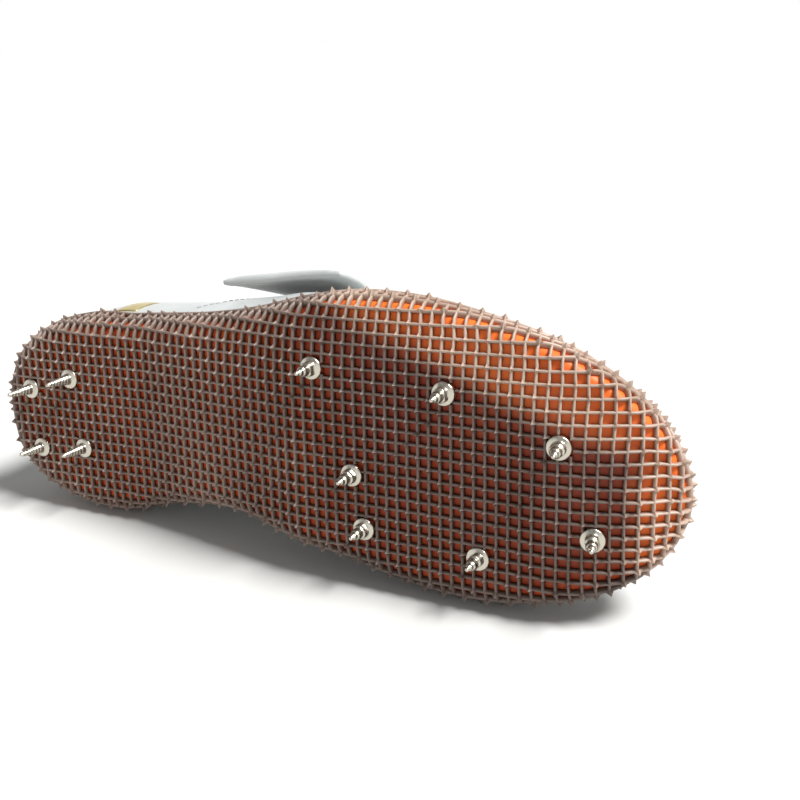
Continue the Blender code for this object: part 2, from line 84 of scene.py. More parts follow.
# x, lateral y, medial y, z, lean in degrees, lateral and medial bulge
TOP = [
    (10, 2, 2, 93, -4, 3.5, 3.5), (12, -10, 13, 92, -3, 3.5, 3.5),
    (18, -19, 21.5, 89, 0, 3, 3), (29, -28.5, 28, 82, 3, 6.5, 2.5),
    (45, -34, 33, 73, 6, 8.5, 2.5), (64, -35.5, 34.5, 68, 8, 9.5, 3.5),
    (84, -35.5, 33.5, 70, 12, 10, 6), (101, -33, 31, 78, 22, 10.5, 8),
    (116, -27, 26.5, 88, 36, 9.5, 8), (132, -20.5, 21.5, 87, 48, 7, 6.5),
    (151, -15.5, 18, 80.5, 56, 4, 5), (171, -11.5, 15, 72.5, 63, 3, 3.5),
    (189, -6.5, 11, 65.5, 74, 2, 2), (201, 2.5, 2.5, 61.5, 88, 1.5, 1.5),
    (211, 3, 3, 58.5, 90, 1, 1), (221, 3.5, 3.5, 55.5, 90, 0.5, 0.5),
    (230, 4, 4, 52.5, 90, 0.5, 0.5), (239, 4.5, 4.5, 50, 90, 0.5, 0.5),
]
# feather line and rim of the cup, over the rib plane
EDGE = [
    (16, 12), (16, 12), (16, 12), (16, 12), (16, 12), (16, 11.5), (15.5, 10.5), (15, 10.5),
    (14, 11.5), (12.5, 14), (11.5, 15), (11, 15), (11, 15.5), (11, 17), (11, 19),
    (11.5, 20.5), (12, 21.5), (12, 22),
]
LAST = len(PLAN) - 1
RIDGE = 13  # from here to the toe both sides meet in one top line

# %% [markdown]
# The last's surface is one function of a station along the ring (0 at the heel, 17 at the toe,
# negative on the medial side) and a height v: 0 under the foot, 1 where the corner starts,
# 2 at the foot of the side, 3 at the top line.

# %% The form of the shoe
def spline(a, b, c, d, t):
    return b + 0.5 * t * (c - a + t * (2 * a - 5 * b + 4 * c - d + t * (3 * (b - c) + d - a)))


def side_row(k, side):
    plan, top, edge = PLAN[k], TOP[k], EDGE[k]
    px, py = (plan[0], plan[1]) if side < 0 else (plan[2], plan[3])
    ty, bulge = (top[1], top[5]) if side < 0 else (top[2], top[6])
    return (px, py, plan[4], plan[5], top[0], ty, top[3], top[4], bulge, edge[0], edge[1])


RING = np.array([side_row(k, -1) for k in range(LAST + 1)]
                + [side_row(k, 1) for k in range(LAST - 1, 0, -1)])


def ring(s):
    k = math.floor(s)
    rows = [RING[(k + j) % (2 * LAST)] for j in (-1, 0, 1, 2)]
    return spline(*rows, s - k)


HEEL_END, BALL, TOE_START, TOE_REACH = 77, 153, 240, 47


def tread(x):
    """Height of the sole's underside: a flat heel, a slope, a flat ball and a sprung toe."""
    if x < HEEL_END:
        return HEEL_LIFT
    if x < BALL:
        return HEEL_LIFT * (BALL - x) / (BALL - HEEL_END)
    if x < TOE_START:
        return 0.0
    return TOE_LIFT * ((x - TOE_START) / TOE_REACH) ** 1.8


KNOWN = {}


def station(s):
    key = round(s % (2 * LAST), 6)
    if key in KNOWN:
        return KNOWN[key]
    px, py, sx, sy, tx, ty, tz, lean, bulge, feather, rim = ring(key)
    other = ring(-key)
    if min(key, 2 * LAST - key) >= RIDGE:
        tx, ty, tz = (tx + other[4]) / 2, (ty + other[5]) / 2, (tz + other[6]) / 2
    sx, sy = (sx + other[2]) / 2, (sy + other[3]) / 2
    base = tread(px)
    foot = Vector((px, py, base + FOAM_DROP + CORNER))
    spine = Vector((sx, sy, 0))
    top = Vector((tx, ty, tz))
    inward = Vector((sx - px, sy - py, 0)).normalized()
    turn = math.radians(lean)
    rise = inward * math.sin(turn) + Vector((0, 0, math.cos(turn)))
    p1 = foot + Vector((0, 0, 0.40 * (top.z - foot.z))) - inward * bulge
    p2 = top - rise * 0.38 * (top - foot).length
    KNOWN[key] = {"foot": foot, "spine": spine, "top": top, "inward": inward, "rise": rise,
                  "bezier": (foot, p1, p2, top), "base": base,
                  "feather": base + feather, "rim": base + rim}
    return KNOWN[key]


def bezier(points, t):
    a, b, c, d = points
    u = 1 - t
    return a * u ** 3 + b * 3 * u * u * t + c * 3 * u * t * t + d * t ** 3


def camber(s, v):
    """Lift of the tread towards its lateral and toe edge."""
    s %= 2 * LAST
    up = max(0, min(1, (s - CAMBER_FROM) / CAMBER_RAMP, (CAMBER_TO - s) / CAMBER_RAMP))
    return CAMBER * up * up * (3 - 2 * up) * max(0, 2 * v - 1) ** 2


def inside(at, edge, share):
    """x and y of a place between the spine and an edge."""
    return [at["spine"][k] + (edge[k] - at["spine"][k]) * share for k in (0, 1)]


def body(s, v):
    at = station(s)
    if v <= 1:
        x, y = inside(at, at["foot"] + at["inward"] * CORNER, v)
        return Vector((x, y, tread(x) + FOAM_DROP + camber(s, v)))
    if v <= 2:
        turn = (v - 1) * math.pi / 2
        p = at["foot"] + at["inward"] * CORNER * (1 - math.sin(turn))
        low = tread(p.x) + FOAM_DROP + camber(s, 1)
        high = at["foot"].z - low
        reach = (at["foot"] - at["spine"]).to_2d().length - CORNER
        slant = min(4 * camber(s, 1) * CORNER / reach, 0.6 * high)
        return Vector((p.x, p.y, low + (high - slant) * (1 - math.cos(turn))
                       + slant * math.sin(turn)))
    return bezier(at["bezier"], v - 2)


def normal(form, s, v, low=-1e9, high=1e9):
    v0, v1 = max(low, v - 0.02), min(high, v + 0.02)
    ds = form(s + 0.02, (v0 + v1) / 2) - form(s - 0.02, (v0 + v1) / 2)
    return ds.cross(form(s, v1) - form(s, v0)).normalized()


def down_at(x):
    """The way straight out of the tread."""
    return Vector(((tread(x + 1) - tread(x - 1)) / 2, 0, -1)).normalized()


def shell(s, v, depth):
    """A point of the shoe's form moved out by depth."""
    s %= 2 * LAST
    if v <= 0.999:
        p = body(s, v)
        return p + down_at(p.x) * depth
    n = normal(body, s, v, 1, 3)
    if v > 2.999 and min(s, 2 * LAST - s) >= RIDGE:
        n = (n + normal(body, 2 * LAST - s, v, 1, 3)).normalized()
    return body(s, v) + n * depth


def level(s, z):
    points = station(s)["bezier"]
    low, high = 0.0, 1.0
    for _ in range(20):
        mid = (low + high) / 2
        if bezier(points, mid).z < z:
            low = mid
        else:
            high = mid
    return 2 + (low + high) / 2


def cross(s, c):
    """Over the throat: c -2 lateral foot, -1 lateral edge, 1 medial edge, 2 medial foot."""
    if c <= -1:
        return bezier(station(s)["bezier"], c + 2)
    if c >= 1:
        return bezier(station(-s)["bezier"], 2 - c)
    lat, med = station(s), station(-s)
    span = (lat["top"] - med["top"]).length * 0.36
    arch = (lat["top"], lat["top"] + lat["rise"] * span,
            med["top"] + med["rise"] * span, med["top"])
    return bezier(arch, (c + 1) / 2)


def over(s, c, depth):
    return cross(s, c) + normal(cross, s, c, -2, 2) * depth


# %% [markdown]
# The shoe was laid down on the facet of its hull that carries its weight. The same turn and
# move bring every upright point to its place in the frame.

# %% Lay a point down
DOWN = Vector((-0.01911, 0.99537, 0.09424)).normalized()
MOVE = Vector((-142.644, -52.099, 46.341))
x_axis = (Vector((1, 0, 0)) - DOWN * DOWN.x).normalized()
LAY = Matrix((x_axis, (-DOWN).cross(x_axis), -DOWN))


def laid(p):
    return (LAY @ p + MOVE) * MM


print("toe tip lies at", [round(c, 4) for c in laid(Vector((286, 3.5, 12)))])

# %% [markdown]
# Small tools: colours as sRGB hex, one way to add a shader node, and one way to turn a grid of
# points into a closed skin with an outer and an inner side.

# %% Colour and material tools
def linear(code):
    values = [int(code[k:k + 2], 16) / 255 for k in (0, 2, 4)]
    return (*[c / 12.92 if c <= 0.04045 else ((c + 0.055) / 1.055) ** 2.4 for c in values], 1)


def node(tree, kind, links=None, **settings):
    """Add a node; names with a leading I_ set inputs, links feed inputs from outputs."""
    made = tree.nodes.new(kind)
    for name, value in settings.items():
        if name.startswith("I_"):
            key = name[2:]
            made.inputs[int(key) if key.isdigit() else key.replace("_", " ")].default_value = value
        else:
            setattr(made, name, value)
    for key, source in (links or {}).items():
        tree.links.new(source, made.inputs[key])
    return made


def material(name, colour, rough, metal=0.0, **extra):
    made = bpy.data.materials.new(name)
    made.use_nodes = True
    tree = made.node_tree
    shader = tree.nodes["Principled BSDF"]
    shader.inputs["Base Color"].default_value = linear(colour)
    shader.inputs["Roughness"].default_value = rough
    shader.inputs["Metallic"].default_value = metal
    for key, value in extra.items():
        shader.inputs[key.replace("_", " ")].default_value = value
    made.diffuse_color = linear(colour)
    place = node(tree, "ShaderNodeTexCoord").outputs["Object"]
    return made, tree, shader, place


def ramp(tree, source, stops):
    made = node(tree, "ShaderNodeValToRGB", {"Fac": source})
    band = made.color_ramp
    while len(band.elements) < len(stops):
        band.elements.new(0.5)
    for element, (at, colour) in zip(band.elements, stops):
        element.position = at
        element.color = linear(colour) if isinstance(colour, str) else (colour,) * 3 + (1,)
    return made.outputs["Color"]


def texture(tree, place, kind, **settings):
    return node(tree, "ShaderNodeTex" + kind, {"Vector": place}, **settings).outputs


def bump(tree, shader, height, strength, distance):
    made = node(tree, "ShaderNodeBump", {"Height": height}, I_Strength=strength,
                I_Distance=distance)
    tree.links.new(made.outputs["Normal"], shader.inputs["Normal"])


# %% Mesh tools
HOME = bpy.data.collections.new("dressed_shoe")
bpy.context.scene.collection.children.link(HOME)


def add_object(name, mesh, look, smooth=True):
    for face in mesh.polygons:
        face.use_smooth = smooth
    made = bpy.data.objects.new(name, mesh)
    mesh.materials.append(look)
    HOME.objects.link(made)
    return made


def to_mesh(name, bm):
    mesh = bpy.data.meshes.new(name)
    bm.to_mesh(mesh)
    bm.free()
    return mesh


def grid(us, vs, closed=False):
    pairs = list(zip(us, us[1:])) + ([(us[-1], us[0])] if closed else [])
    return [[(a, c), (b, c), (b, d), (a, d)] for a, b in pairs for c, d in zip(vs, vs[1:])]


def skin(name, cells, form, outer, inner, look):
    """A closed skin: form gives upright points in mm for a grid corner and for either side."""
    bm = bmesh.new()
    known, ids, sides = {}, {}, []
    for cell in cells:
        for key in cell:
            if key in ids:
                continue
            p = form(*key, outer)
            spot = tuple(round(c * 1e3) for c in p)
            if spot not in known:
                known[spot] = len(sides)
                sides.append([p, form(*key, inner), 1])
            else:
                sides[known[spot]][1] = sides[known[spot]][1] + form(*key, inner)
                sides[known[spot]][2] += 1
            ids[key] = known[spot]
    out = [bm.verts.new(laid(p)) for p, _, _ in sides]
    inn = [bm.verts.new(laid(q / n)) for _, q, n in sides]
    edges = {}
    for cell in cells:
        loop = list(dict.fromkeys(ids[key] for key in cell))
        if len(loop) < 3:
            continue
        bm.faces.new([out[k] for k in loop])
        bm.faces.new([inn[k] for k in reversed(loop)])
        for a, b in zip(loop, loop[1:] + loop[:1]):
            edges.setdefault((min(a, b), max(a, b)), []).append((a, b))
    for pair in edges.values():
        if len(pair) == 1:
            a, b = pair[0]
            bm.faces.new([out[b], out[a], inn[a], inn[b]])
    bmesh.ops.recalc_face_normals(bm, faces=bm.faces)
    if bm.calc_volume(signed=True) < 0:
        bmesh.ops.reverse_faces(bm, faces=bm.faces)
    return add_object(name, to_mesh(name, bm), look)


def dress(piece, *nodes, slot=None):
    """The piece rides on the shoe and stands for the named CAD nodes."""
    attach(piece, "root")
    if nodes:
        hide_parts(*nodes)
    print(piece.name, len(piece.data.polygons), "faces")
    return piece


def span(a, b, n):
    return [a + (b - a) * k / (n - 1) for k in range(n)]


AROUND = [k * 0.25 for k in range(8 * LAST)]

# %% [markdown]
# The camera stands where the photo was taken from: its place and axes were worked out in the
# upright shoe's millimetres and are laid down with the shoe.

# %% Camera
EYE = Vector((343.4, -108.9, -300.9))
EYE_RIGHT = Vector((0.8975, 0.0172, 0.4407))
EYE_UP = Vector((-0.0964, -0.9673, 0.2344))
FOCAL_PX = 1050
right = (LAY @ EYE_RIGHT).normalized()
up = LAY @ EYE_UP
up = (up - right * up.dot(right)).normalized()
back = right.cross(up)
data = bpy.data.cameras.new("camera")
data.lens = FOCAL_PX * 36 / 800
data.sensor_width = 36
data.clip_start, data.clip_end = 0.01, 20
camera = bpy.data.objects.new("camera", data)
eye = laid(EYE)
camera.matrix_world = Matrix((
    (right.x, up.x, back.x, eye.x), (right.y, up.y, back.y, eye.y),
    (right.z, up.z, back.z, eye.z), (0, 0, 0, 1)))
bpy.context.scene.collection.objects.link(camera)
bpy.context.scene.camera = camera
print("camera height", round(eye.z, 3), "looks down", round(math.degrees(math.asin(back.z)), 1))

# %% [markdown]
# The photo has a burnt-out white ground and light from above and the toe side, so the flat
# sole is in shade. One soft sun does that; the sky is white low down and dim overhead.

# %% Floor and light
scene = bpy.context.scene
scene.view_settings.view_transform = "Standard"
world = bpy.data.worlds.new("white_sky")
world.use_nodes = True
sky = world.node_tree
look_at = node(sky, "ShaderNodeTexCoord").outputs["Generated"]
height = node(sky, "ShaderNodeSeparateXYZ", {"Vector": look_at}).outputs["Z"]
band = ramp(sky, height, [(0.0, 1.0), (0.34, 1.0), (0.46, 0.25), (1.0, 0.25)])
sky.links.new(band, sky.nodes["Background"].inputs["Color"])
scene.world = world

paper, _, _, _ = material("white_paper_matt", "C8C8C6", 0.9)
floor_mesh = bpy.data.meshes.new("floor")
floor_mesh.from_pydata([(-9, -9, 0), (9, -9, 0), (9, 9, 0), (-9, 9, 0)], [], [(0, 1, 2, 3)])
floor = add_object("floor", floor_mesh, paper, False)

sun = bpy.data.lights.new("key_above_toe_side", "SUN")
sun.energy, sun.angle = 5.8, math.radians(20)
key = bpy.data.objects.new("key_above_toe_side", sun)
key.rotation_euler = Vector((-0.6, -0.06, -0.9)).to_track_quat("-Z", "Y").to_euler()
scene.collection.objects.link(key)

# %% [markdown]
# Rubber. The base of the sole is a smooth orange compound, the net a duller taupe grey one.
# The photo's forefoot turns up to the light along its lateral edge and toe, more than this
# model does. So the colour itself is lighter on that border and darker on the flat plate: it
# stands in for the photo's light and isn't a second compound.

# %% Rubber materials
def blend(tree, factor, first, second):
    made = node(tree, "ShaderNodeMix", {0: factor, 6: first, 7: second}, data_type="RGBA")
    return made.outputs[2]


# metres in the frame: where each tone starts and where it is full, and how uneven the line is
PLATE_FROM, SIDE_FROM, TOE_FROM = (-0.03, 0.04), (0.1055, 0.1145), (0.132, 0.139)
SIDE_SLOPE, WAVE_HEIGHT = 0.373, 0.012


def between(tree, value, limits, **settings):
    made = node(tree, "ShaderNodeMapRange", {"Value": value}, I_From_Min=limits[0],
                I_From_Max=limits[1], **settings)
    return made.outputs[0]


def toned(tree, shader, place, scale, heel, plate, border):
    """Rubber in three tones: heel and waist, the forefoot plate darker as painted shade, the
    turned-up border lighter as painted light.
    """
    spread = texture(tree, place, "Noise", I_Scale=scale, I_Detail=4.0)["Fac"]
    heel, plate, border = [ramp(tree, spread, [(0.33, a), (0.7, b)])
                           for a, b in (heel, plate, border)]
    at = node(tree, "ShaderNodeSeparateXYZ", {"Vector": place}).outputs
    wave = texture(tree, place, "Noise", I_Scale=90.0)["Fac"]
    across = node(tree, "ShaderNodeMath", {0: wave, 2: at["X"]}, operation="MULTIPLY_ADD",
                  I_1=WAVE_HEIGHT).outputs[0]
    edge = node(tree, "ShaderNodeMath", {0: across, 2: at["Z"]}, operation="MULTIPLY_ADD",
                I_1=SIDE_SLOPE).outputs[0]
    part = between(tree, at["X"], PLATE_FROM, interpolation_type="SMOOTHSTEP")
    side, toe = between(tree, edge, SIDE_FROM), between(tree, across, TOE_FROM)
    top = node(tree, "ShaderNodeMath", {0: side, 1: toe}, operation="MAXIMUM").outputs[0]
    look = blend(tree, top, blend(tree, part, heel, plate), border)
    tree.links.new(look, shader.inputs["Base Color"])


orange, tree, shader, place = material("orange_outsole_rubber", "DE4C1C", 0.45,
                                       Specular_IOR_Level=0.3)
# heel, plate and border tones: the darker plate pair is painted shade, the lighter border pair
# painted light
toned(tree, shader, place, 22.0, ("C0481C", "D65C26"), ("8E3218", "AE461C"),
     ("EA6824", "F87E34"))
grain = texture(tree, place, "Noise", I_Scale=1400.0, I_Detail=2.0)
bump(tree, shader, grain["Fac"], 0.15, 0.0002)

taupe, tree, shader, place = material("taupe_net_rubber_moulded", "917A68", 0.45)
# the net's tones likewise: the darker plate pair is painted shade, the lighter border pair painted
# light
toned(tree, shader, place, 35.0, ("746258", "8B786C"), ("594A42", "6E5E56"),
     ("9C8676", "B39C8C"))
grain = texture(tree, place, "Noise", I_Scale=1800.0, I_Detail=2.0)
bump(tree, shader, grain["Fac"], 0.2, 0.0002)

# %% Outsole base
SOLE_V = [0, 0.3, 0.5, 0.6, 0.7, 0.8, 0.9, 1, 1.2, 1.4, 1.6, 1.8, 2]


def rim_v(s, share):
    return 2 + (level(s, station(s)["rim"]) - 2) * share


SIDE = [0.25, 0.5, 0.75, 0.9, 1.0]
sole_rows = [("v", v) for v in SOLE_V] + [("rim", k) for k in SIDE]


def sole_point(s, k, depth):
    kind, value = sole_rows[k]
    if kind == "rim":
        return shell(s, rim_v(s, value), depth * (1 - 0.5 * max(0, value - 0.7) / 0.3))
    return shell(s, value, depth)


outsole = skin("outsole_base", grid(AROUND, range(len(sole_rows)), True), sole_point,
               GAP + CUP, GAP, orange)
dress(outsole, "outsole", slot="orange_rubber")

# %% [markdown]
# The net's ribs run straight along and across the shoe, 4 mm apart, and go on up the sides.
# A rib's line is laid out flat; past the flat tread it is bent round the corner by its length.

# %% Lay out the net's lines
PITCH = 4.0
RIB_FOOT = GAP + CUP + 0.1
outline, walls = [], []
STEP = 0.05
for k in range(round(2 * LAST / STEP)):
    s = k * STEP
    top_v = rim_v(s, 0.97)
    vs = [1 + j / 8 for j in range(9)] + [2 + (top_v - 2) * j / 6 for j in range(1, 7)]
    points = [shell(s, v, RIB_FOOT) for v in vs]
    arc = [0.0]
    for a, b in zip(points, points[1:]):
        arc.append(arc[-1] + (b - a).length)
    outline.append(points[0])
    walls.append((points, arc, [normal(body, s, v, 1, 3) for v in vs]))
count = len(outline)
tree_kd = KDTree(count)
for k, p in enumerate(outline):
    tree_kd.insert(Vector((p.x, p.y, 0)), k)
tree_kd.balance()
print("outline points", count, "rim arc at the toe", round(walls[round(LAST / STEP)][1][-1], 1))


verts, faces = [], []
for cell in grid([k * 0.125 for k in range(16 * LAST)], SOLE_V[:11], True):
    faces.append([len(verts) + k for k in range(4)])
    verts += [body(*key) for key in cell]
under = BVHTree.FromPolygons(verts, faces)


def low_at(x, y):
    """Height of the sole's underside over a point of the floor."""
    return under.ray_cast(Vector((x, y, -50)), Vector((0, 0, 1)))[0].z


def on_wall(k, far):
    points, arc, ups = walls[k % count]
    for j in range(1, len(arc)):
        if arc[j] >= far:
            t = (far - arc[j - 1]) / (arc[j] - arc[j - 1])
            return points[j - 1].lerp(points[j], t), ups[j - 1].lerp(ups[j], t)
    return None


def net_point(x, y):
    """Place, direction and reach up the side for a point of the flat pattern, or None."""
    here = Vector((x, y, 0))
    _, near, _ = tree_kd.find(here)
    best = None
    for k in (near - 1, near):
        a, b = outline[k % count], outline[(k + 1) % count]
        way = Vector((b.x - a.x, b.y - a.y, 0))
        off = Vector((x - a.x, y - a.y, 0))
        t = max(0, min(1, off.dot(way) / way.length_squared))
        gap = (off - way * t).length
        if best is None or gap < best[0]:
            best = (gap, k, t, way.x * off.y - way.y * off.x)
    far, k, t, side = best
    if side >= 0:
        out = Vector(((low_at(x + 1, y) - low_at(x - 1, y)) / 2,
                      (low_at(x, y + 1) - low_at(x, y - 1)) / 2, -1)).normalized()
        return Vector((x, y, low_at(x, y) + RIB_FOOT / out.z)), out, 0
    p0, p1 = on_wall(k, far), on_wall(k + 1, far)
    if p0 is None or p1 is None:
        return None
    return p0[0].lerp(p1[0], t), p0[1].lerp(p1[1], t).normalized(), far


# %% Spikes' places and the net's seams
SPIKES = {
    "spike_heel_1": (15.9, -5.2), "spike_heel_2": (37.6, -11.4), "spike_heel_3": (18.8, 19.9),
    "spike_heel_4": (42, 17.5), "spike_fore_1": (160.2, -29.1), "spike_fore_2": (209.7, -24.8),
    "spike_fore_3": (248.6, -11), "spike_fore_4": (259.6, 18.8), "spike_fore_5": (221.8, 30.6),
    "spike_fore_6": (174.8, 7.6), "spike_fore_7": (179.1, 26.8),
}
DART_X, DART_FROM, DART_SLOPE = 209.0, 4.5, 0.16


def on_net(x, y, room=FLANGE_R + 0.2):
    """The net's point, or None off the sole, under a spike or in the dart of the rim."""
    if any(math.hypot(x - a, y - b) < room for a, b in SPIKES.values()):
        return None
    hit = net_point(x, y)
    if hit and y < 0 and hit[2] > DART_FROM \
            and abs(x - DART_X) < (hit[2] - DART_FROM) * DART_SLOPE:
        return None
    return hit


def line_at(axis, at, low, high, step=PITCH / 2):
    """Runs of a straight rib that lie on the sole, their ends found by halving."""
    runs, run, last = [], [], None
    for k in range(round((high - low) / step) + 1):
        far = low + k * step
        spot = (lambda d: (d, at) if axis == "x" else (at, d))
        hit = on_net(*spot(far))
        if last is not None and (hit is None) != (last[1] is None):
            good, bad = (far, last[0]) if hit else (last[0], far)
            for _ in range(8):
                mid = (good + bad) / 2
                good, bad = (mid, bad) if on_net(*spot(mid)) else (good, mid)
            run.append(on_net(*spot(good)))
        if hit:
            run.append(hit)
        elif run:
            runs.append(run)
            run = []
        last = (far, hit)
    return [[(laid(p), (LAY @ n).normalized()) for p, n, _ in run] for run in runs
            if len(run) > 1]


X0, X1, Y0, Y1 = -20, 308, -78, 70
runs, teeth = [], []
columns = [X0 + PITCH * k for k in range(round((X1 - X0) / PITCH) + 1)]
lines_y = [Y0 + PITCH * k for k in range(round((Y1 - Y0) / PITCH) + 1)]
for y in lines_y:
    runs += line_at("x", y, X0, X1)
for x in columns:
    runs += line_at("y", x, Y0, Y1)
for i, x in enumerate(columns):
    for j, y in enumerate(lines_y):
        if (i + j) % 2 == 0 and on_net(x, y, FLANGE_R + 1.3):
            teeth.append((x, y))
rim_run = [(laid(walls[k % count][0][-1]), (LAY @ walls[k % count][2][-1]).normalized())
           for k in range(0, count + 1, 4)]
runs.append(rim_run)
print("rib runs", len(runs), "teeth", len(teeth))


# %% [markdown]
# Geometry Nodes turn the lines into ribs: each line becomes a curve whose normal is the sole's
# own direction, and a rounded section is swept along it. A second tree sets a tooth on every
# other crossing. Both end in plain meshes.

# %% Node trees for ribs and for things set on a surface
def tree_for(name, inputs):
    tree = bpy.data.node_groups.new(name, "GeometryNodeTree")
    tree.interface.new_socket("Geometry", in_out="INPUT", socket_type="NodeSocketGeometry")
    for label, kind in inputs.items():
        tree.interface.new_socket(label, in_out="INPUT", socket_type=kind)
    tree.interface.new_socket("Geometry", in_out="OUTPUT", socket_type="NodeSocketGeometry")
    return tree, node(tree, "NodeGroupInput").outputs


def named(tree, name):
    made = node(tree, "GeometryNodeInputNamedAttribute", data_type="FLOAT_VECTOR", I_Name=name)
    return made.outputs["Attribute"]


def end_tree(tree, start, geometry):
    """Make the instances real, give them the material and end the tree."""
    real = node(tree, "GeometryNodeRealizeInstances", {"Geometry": geometry})
    painted = node(tree, "GeometryNodeSetMaterial", {"Geometry": real.outputs["Geometry"],
                                                     "Material": start["Material"]})
    node(tree, "NodeGroupOutput", {"Geometry": painted.outputs["Geometry"]})
    return tree


def rib_tree():
    tree, start = tree_for("swept_ribs", {
        "Section": "NodeSocketObject", "Material": "NodeSocketMaterial"})
    curve = node(tree, "GeometryNodeMeshToCurve", {"Mesh": start["Geometry"]})
    facing = named(tree, "facing")
    turned_curve = node(tree, "GeometryNodeSetCurveNormal",
                        {"Curve": curve.outputs["Curve"]}, mode="FREE")
    for socket in turned_curve.inputs:
        if socket.name == "Normal":
            tree.links.new(facing, socket)
    section = node(tree, "GeometryNodeObjectInfo", {"Object": start["Section"]})
    outline_curve = node(tree, "GeometryNodeMeshToCurve",
                         {"Mesh": section.outputs["Geometry"]})
    swept = node(tree, "GeometryNodeCurveToMesh",
                 {"Curve": turned_curve.outputs["Curve"],
                  "Profile Curve": outline_curve.outputs["Curve"]}, I_Fill_Caps=True)
    return end_tree(tree, start, swept.outputs["Mesh"])


def set_tree():
    tree, start = tree_for("set_on_points", {
        "Thing": "NodeSocketObject", "Material": "NodeSocketMaterial"})
    turn = node(tree, "FunctionNodeAlignRotationToVector", {"Vector": named(tree, "facing")},
                axis="Z")
    turn = node(tree, "FunctionNodeAlignRotationToVector",
                {"Rotation": turn.outputs["Rotation"], "Vector": named(tree, "along")},
                axis="X", pivot_axis="Z")
    thing = node(tree, "GeometryNodeObjectInfo", {"Object": start["Thing"]})
    points = node(tree, "GeometryNodeMeshToPoints", {"Mesh": start["Geometry"]})
    placed = node(tree, "GeometryNodeInstanceOnPoints",
                  {"Points": points.outputs["Points"],
                   "Instance": thing.outputs["Geometry"],
                   "Rotation": turn.outputs["Rotation"]})
    return end_tree(tree, start, placed.outputs["Instances"])


RIBS, SET = rib_tree(), set_tree()


def run_tree(name, tree, source, inputs, look, smooth=True):
    """Run a tree on a carrier mesh and keep its result as a plain object."""
    carrier = bpy.data.objects.new(name + "_carrier", source)
    scene.collection.objects.link(carrier)
    made = carrier.modifiers.new("tree", "NODES")
    made.node_group = tree
    for item in tree.interface.items_tree:
        if item.in_out == "INPUT" and item.name in inputs:
            made[item.identifier] = inputs[item.name]
    carrier.update_tag()
    bpy.context.view_layer.update()
    ready = carrier.evaluated_get(bpy.context.evaluated_depsgraph_get())
    mesh = bpy.data.meshes.new_from_object(ready)
    mesh.name = name
    bpy.data.objects.remove(carrier)
    mesh.materials.clear()
    return add_object(name, mesh, look, smooth)


def helper_object(name, mesh):
    return bpy.data.objects.new(name, mesh)


def ring_edges(n):
    return [(k, (k + 1) % n) for k in range(n)]


def places_mesh(name, verts, edges=(), **fields):
    """A mesh of bare places, with edges where they form lines and a vector field per name."""
    mesh = bpy.data.meshes.new(name)
    mesh.from_pydata(verts, edges, [])
    for field, values in fields.items():
        made = mesh.attributes.new(field, "FLOAT_VECTOR", "POINT")
        made.data.foreach_set("vector", [c for v in values for c in v])
    return mesh


# %% Sweep the ribs
RIB = [(-0.6, 0.0), (-0.5, 1.4), (-0.26, 1.95), (0.26, 1.95), (0.5, 1.4), (0.6, 0.0)]
section = helper_object("rib_section", places_mesh(
    "rib_section", [(b * MM, a * MM, 0) for a, b in RIB], ring_edges(6)))

verts, edges, facing = [], [], []
for run in runs:
    first = len(verts)
    verts += [p for p, _ in run]
    facing += [n for _, n in run]
    edges += [(k, k + 1) for k in range(first, len(verts) - 1)]
mesh = places_mesh("rib_lines", verts, edges, facing=facing)
ribs = run_tree("net_ribs", RIBS, mesh, {"Section": section, "Material": taupe}, taupe)
print("rib faces", len(ribs.data.polygons))

# %% Set the teeth
def stacked(name, rows):
    """A mesh closed at both ends, from rows of radii round the Z axis with their height in mm."""
    bm = bmesh.new()
    rings = []
    for radii, high in rows:
        n = len(radii)
        turns = [2 * math.pi * k / n for k in range(n)]
        rings.append([bm.verts.new((r * math.cos(a) * MM, r * math.sin(a) * MM, high * MM))
                      for r, a in zip(radii, turns)])
    for low, high in zip(rings, rings[1:]):
        for k in range(n):
            bm.faces.new([low[k], low[(k + 1) % n], high[(k + 1) % n], high[k]])
    bm.faces.new(list(reversed(rings[0])))
    bm.faces.new(rings[-1])
    return to_mesh(name, bm)


# radius of a ridge, radius between two ridges, height
TOOTH = [(1.75, 0.55, 1.3), (1.25, 0.62, 2.05), (0.62, 0.4, 2.85), (0.14, 0.12, 3.5)]
tooth = helper_object("tooth", stacked(
    "tooth", [((wide, waist) * 4, high) for wide, waist, high in TOOTH]))
verts, facing, along = [], [], []
for x, y in teeth:
    hit = net_point(x, y)
    ahead = net_point(x + 1, y)
    verts.append(laid(hit[0]))
    facing.append((LAY @ hit[1]).normalized())
    way = (ahead[0] - hit[0]) if ahead else Vector((1, 0, 0))
    along.append((LAY @ way).normalized())
mesh = places_mesh("tooth_places", verts, facing=facing, along=along)
spines = run_tree("net_teeth", SET, mesh, {"Thing": tooth, "Material": taupe}, taupe, False)
pressed = [vert for vert in spines.data.vertices if vert.co.z < 0]
for vert in pressed:
    vert.co.z = 0.0  # the teeth that the shoe lies on are pressed flat on the floor
print("teeth", len(verts), "faces", len(spines.data.polygons), "points pressed", len(pressed))

# %% The net's pieces replace the CAD net
dress(ribs, "grip_net", slot="grey_rubber")
dress(spines, "grip_net", slot="grey_rubber")

# %% [markdown]
# The foam between cup and upper is white moulded foam with a thin skin.

# %% Foam and its look
foam_white, tree, shader, place = material("white_midsole_foam", "E0E3E3", 0.55)
foam_cells = texture(tree, place, "Voronoi", I_Scale=900.0)
bump(tree, shader, foam_cells["Distance"], 0.12, 0.0003)
FOAM_ROWS = SOLE_V + [2.33, 2.66, 3.0]


